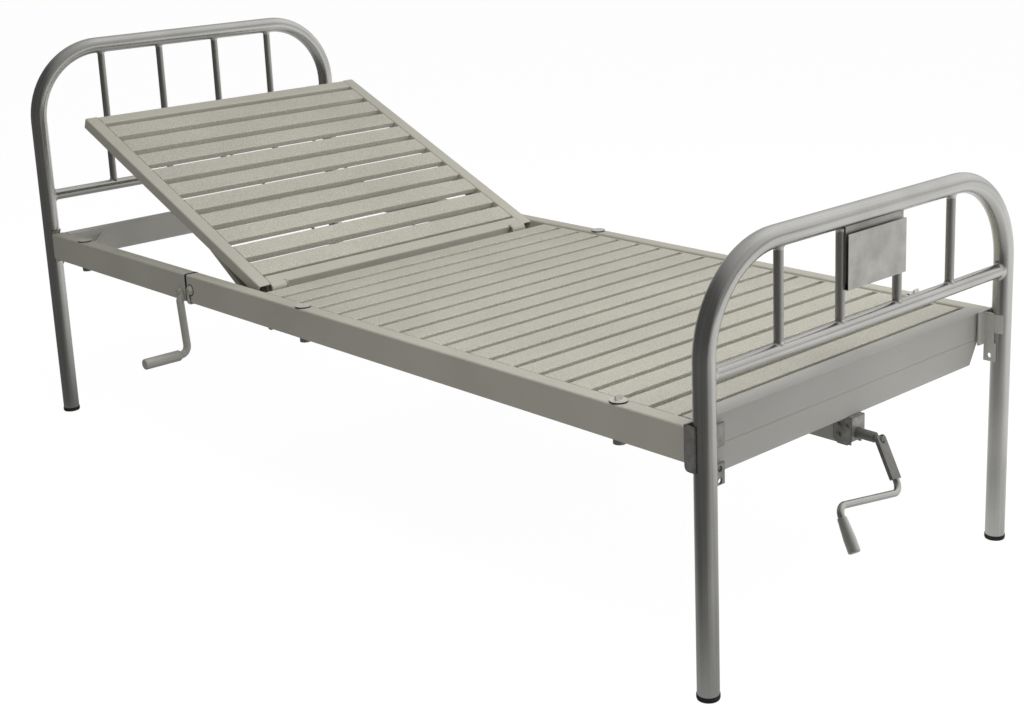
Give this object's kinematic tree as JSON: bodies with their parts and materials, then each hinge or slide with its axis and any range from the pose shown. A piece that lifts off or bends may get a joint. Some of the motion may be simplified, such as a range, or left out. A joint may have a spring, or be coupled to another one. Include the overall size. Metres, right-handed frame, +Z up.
{
  "type": "manual hospital bed",
  "caption": "Manual hospital bed with stainless tube ends that are also the legs, a painted slatted deck, a hinged backrest raised by a screw drive, a folding crank and side lock levers.",
  "frame": {"origin": "on the floor, under the middle of the outline with the crank folded out as pictured", "axes": "+X to the foot end with the crank, +Y to the far side of the picture, +Z up"},
  "size_m": [2.1948, 1.0582, 0.884],
  "materials": {
    "brushed_tube": "brushed stainless tube",
    "brushed_sheet": "brushed stainless sheet",
    "grey_beige_paint": "fine textured powder coat",
    "dark_zinc_plate": "dark zinc plate",
    "grey_lever_paint": "satin grey paint",
    "bright_crank_rod": "satin plated steel",
    "black_rubber": "matt moulded rubber",
    "pale_cap": "smooth pale grey",
    "bronze_nut": "machined bronze",
    "white_nylon": "smooth white"
  },
  "bodies": {
    "frame": {"apron": "grey_beige_paint", "chart_pocket": "brushed_sheet", "cross_bar": "grey_beige_paint", "drive_bracket": "grey_lever_paint", "drive_channel": "grey_lever_paint", "fixed_deck": "grey_beige_paint", "foot_arch": "brushed_tube", "foot_bar_1": "brushed_tube", "foot_bar_2": "brushed_tube", "foot_bar_3": "brushed_tube", "foot_bar_4": "brushed_tube", "foot_cap_foot_far": "black_rubber", "foot_cap_foot_near": "black_rubber", "foot_cap_head_far": "black_rubber", "foot_cap_head_near": "black_rubber", "foot_end_bar": "grey_beige_paint", "foot_mid_rail": "brushed_tube", "head_arch": "brushed_tube", "head_bar_1": "brushed_tube", "head_bar_2": "brushed_tube", "head_bar_3": "brushed_tube", "head_bar_4": "brushed_tube", "head_end_bar": "grey_beige_paint", "head_mid_rail": "brushed_tube", "head_rail_far": "grey_beige_paint", "head_rail_near": "grey_beige_paint", "hinge_pin_far": "brushed_sheet", "hinge_pin_near": "brushed_sheet", "hook_bracket_foot_far": "brushed_sheet", "hook_bracket_foot_near": "dark_zinc_plate", "hook_bracket_head_far": "dark_zinc_plate", "hook_bracket_head_near": "dark_zinc_plate", "lever_pin_far": "grey_lever_paint", "lever_pin_near": "grey_lever_paint", "main_rail_far": "grey_beige_paint", "main_rail_near": "grey_beige_paint", "socket_plug_far_1": "pale_cap", "socket_plug_far_2": "pale_cap", "socket_plug_far_3": "pale_cap", "socket_plug_near_1": "pale_cap", "socket_plug_near_2": "pale_cap", "socket_plug_near_3": "pale_cap", "splice_saddle_far": "grey_beige_paint", "splice_saddle_near": "grey_beige_paint", "splice_sleeve_far": "grey_beige_paint", "splice_sleeve_near": "grey_beige_paint", "tube_guide": "white_nylon"},
    "backrest": {"backrest_panel": "grey_beige_paint", "lever_frame": "grey_beige_paint"},
    "push": {"push_tube": "dark_zinc_plate", "drive_nut": "bronze_nut"},
    "screw": {"screw_shaft": "grey_lever_paint"},
    "crank": {"crank_arm": "grey_lever_paint", "crank_rod": "bright_crank_rod", "crank_grip": "bright_crank_rod"},
    "near_lever": {"lock_lever_near": "grey_lever_paint", "lever_grip_near": "grey_lever_paint"},
    "far_lever": {"lock_lever_far": "grey_lever_paint", "lever_grip_far": "grey_lever_paint"}
  },
  "joints": [
    {"name": "backrest_tilt", "type": "hinge", "parent": "frame", "child": "backrest", "pos_m": [-0.25497, 0, 0.434], "axis": [0, 1, 0], "range_deg": [-23, 52]},
    {"name": "push_slide", "type": "slide", "parent": "frame", "child": "push", "axis": [-1, 0, 0], "range_m": [-0.0487, 0.1099]},
    {"name": "screw_spin", "type": "hinge", "parent": "frame", "child": "screw", "pos_m": [0.99843, 0, 0.31743], "axis": [1, 0, 0], "range_deg": [-1750, 3954]},
    {"name": "crank_fold", "type": "hinge", "parent": "screw", "child": "crank", "pos_m": [0.99843, 0, 0.31743], "axis": [0, -0.9869, 0.1616], "range_deg": [-32.9, 57.1]},
    {"name": "near_lever_turn", "type": "hinge", "parent": "frame", "child": "near_lever", "pos_m": [-0.48857, -0.4168, 0.402], "axis": [0, 1, 0], "range_deg": [0, 100]},
    {"name": "far_lever_turn", "type": "hinge", "parent": "frame", "child": "far_lever", "pos_m": [-0.48857, 0.4168, 0.402], "axis": [0, 1, 0], "range_deg": [0, 100]}
  ],
  "couplings": [
    {"joint": "push_slide", "follows": "backrest_tilt", "m_per_rad": 0.12091},
    {"joint": "screw_spin", "follows": "backrest_tilt", "ratio": 75.973}
  ]
}
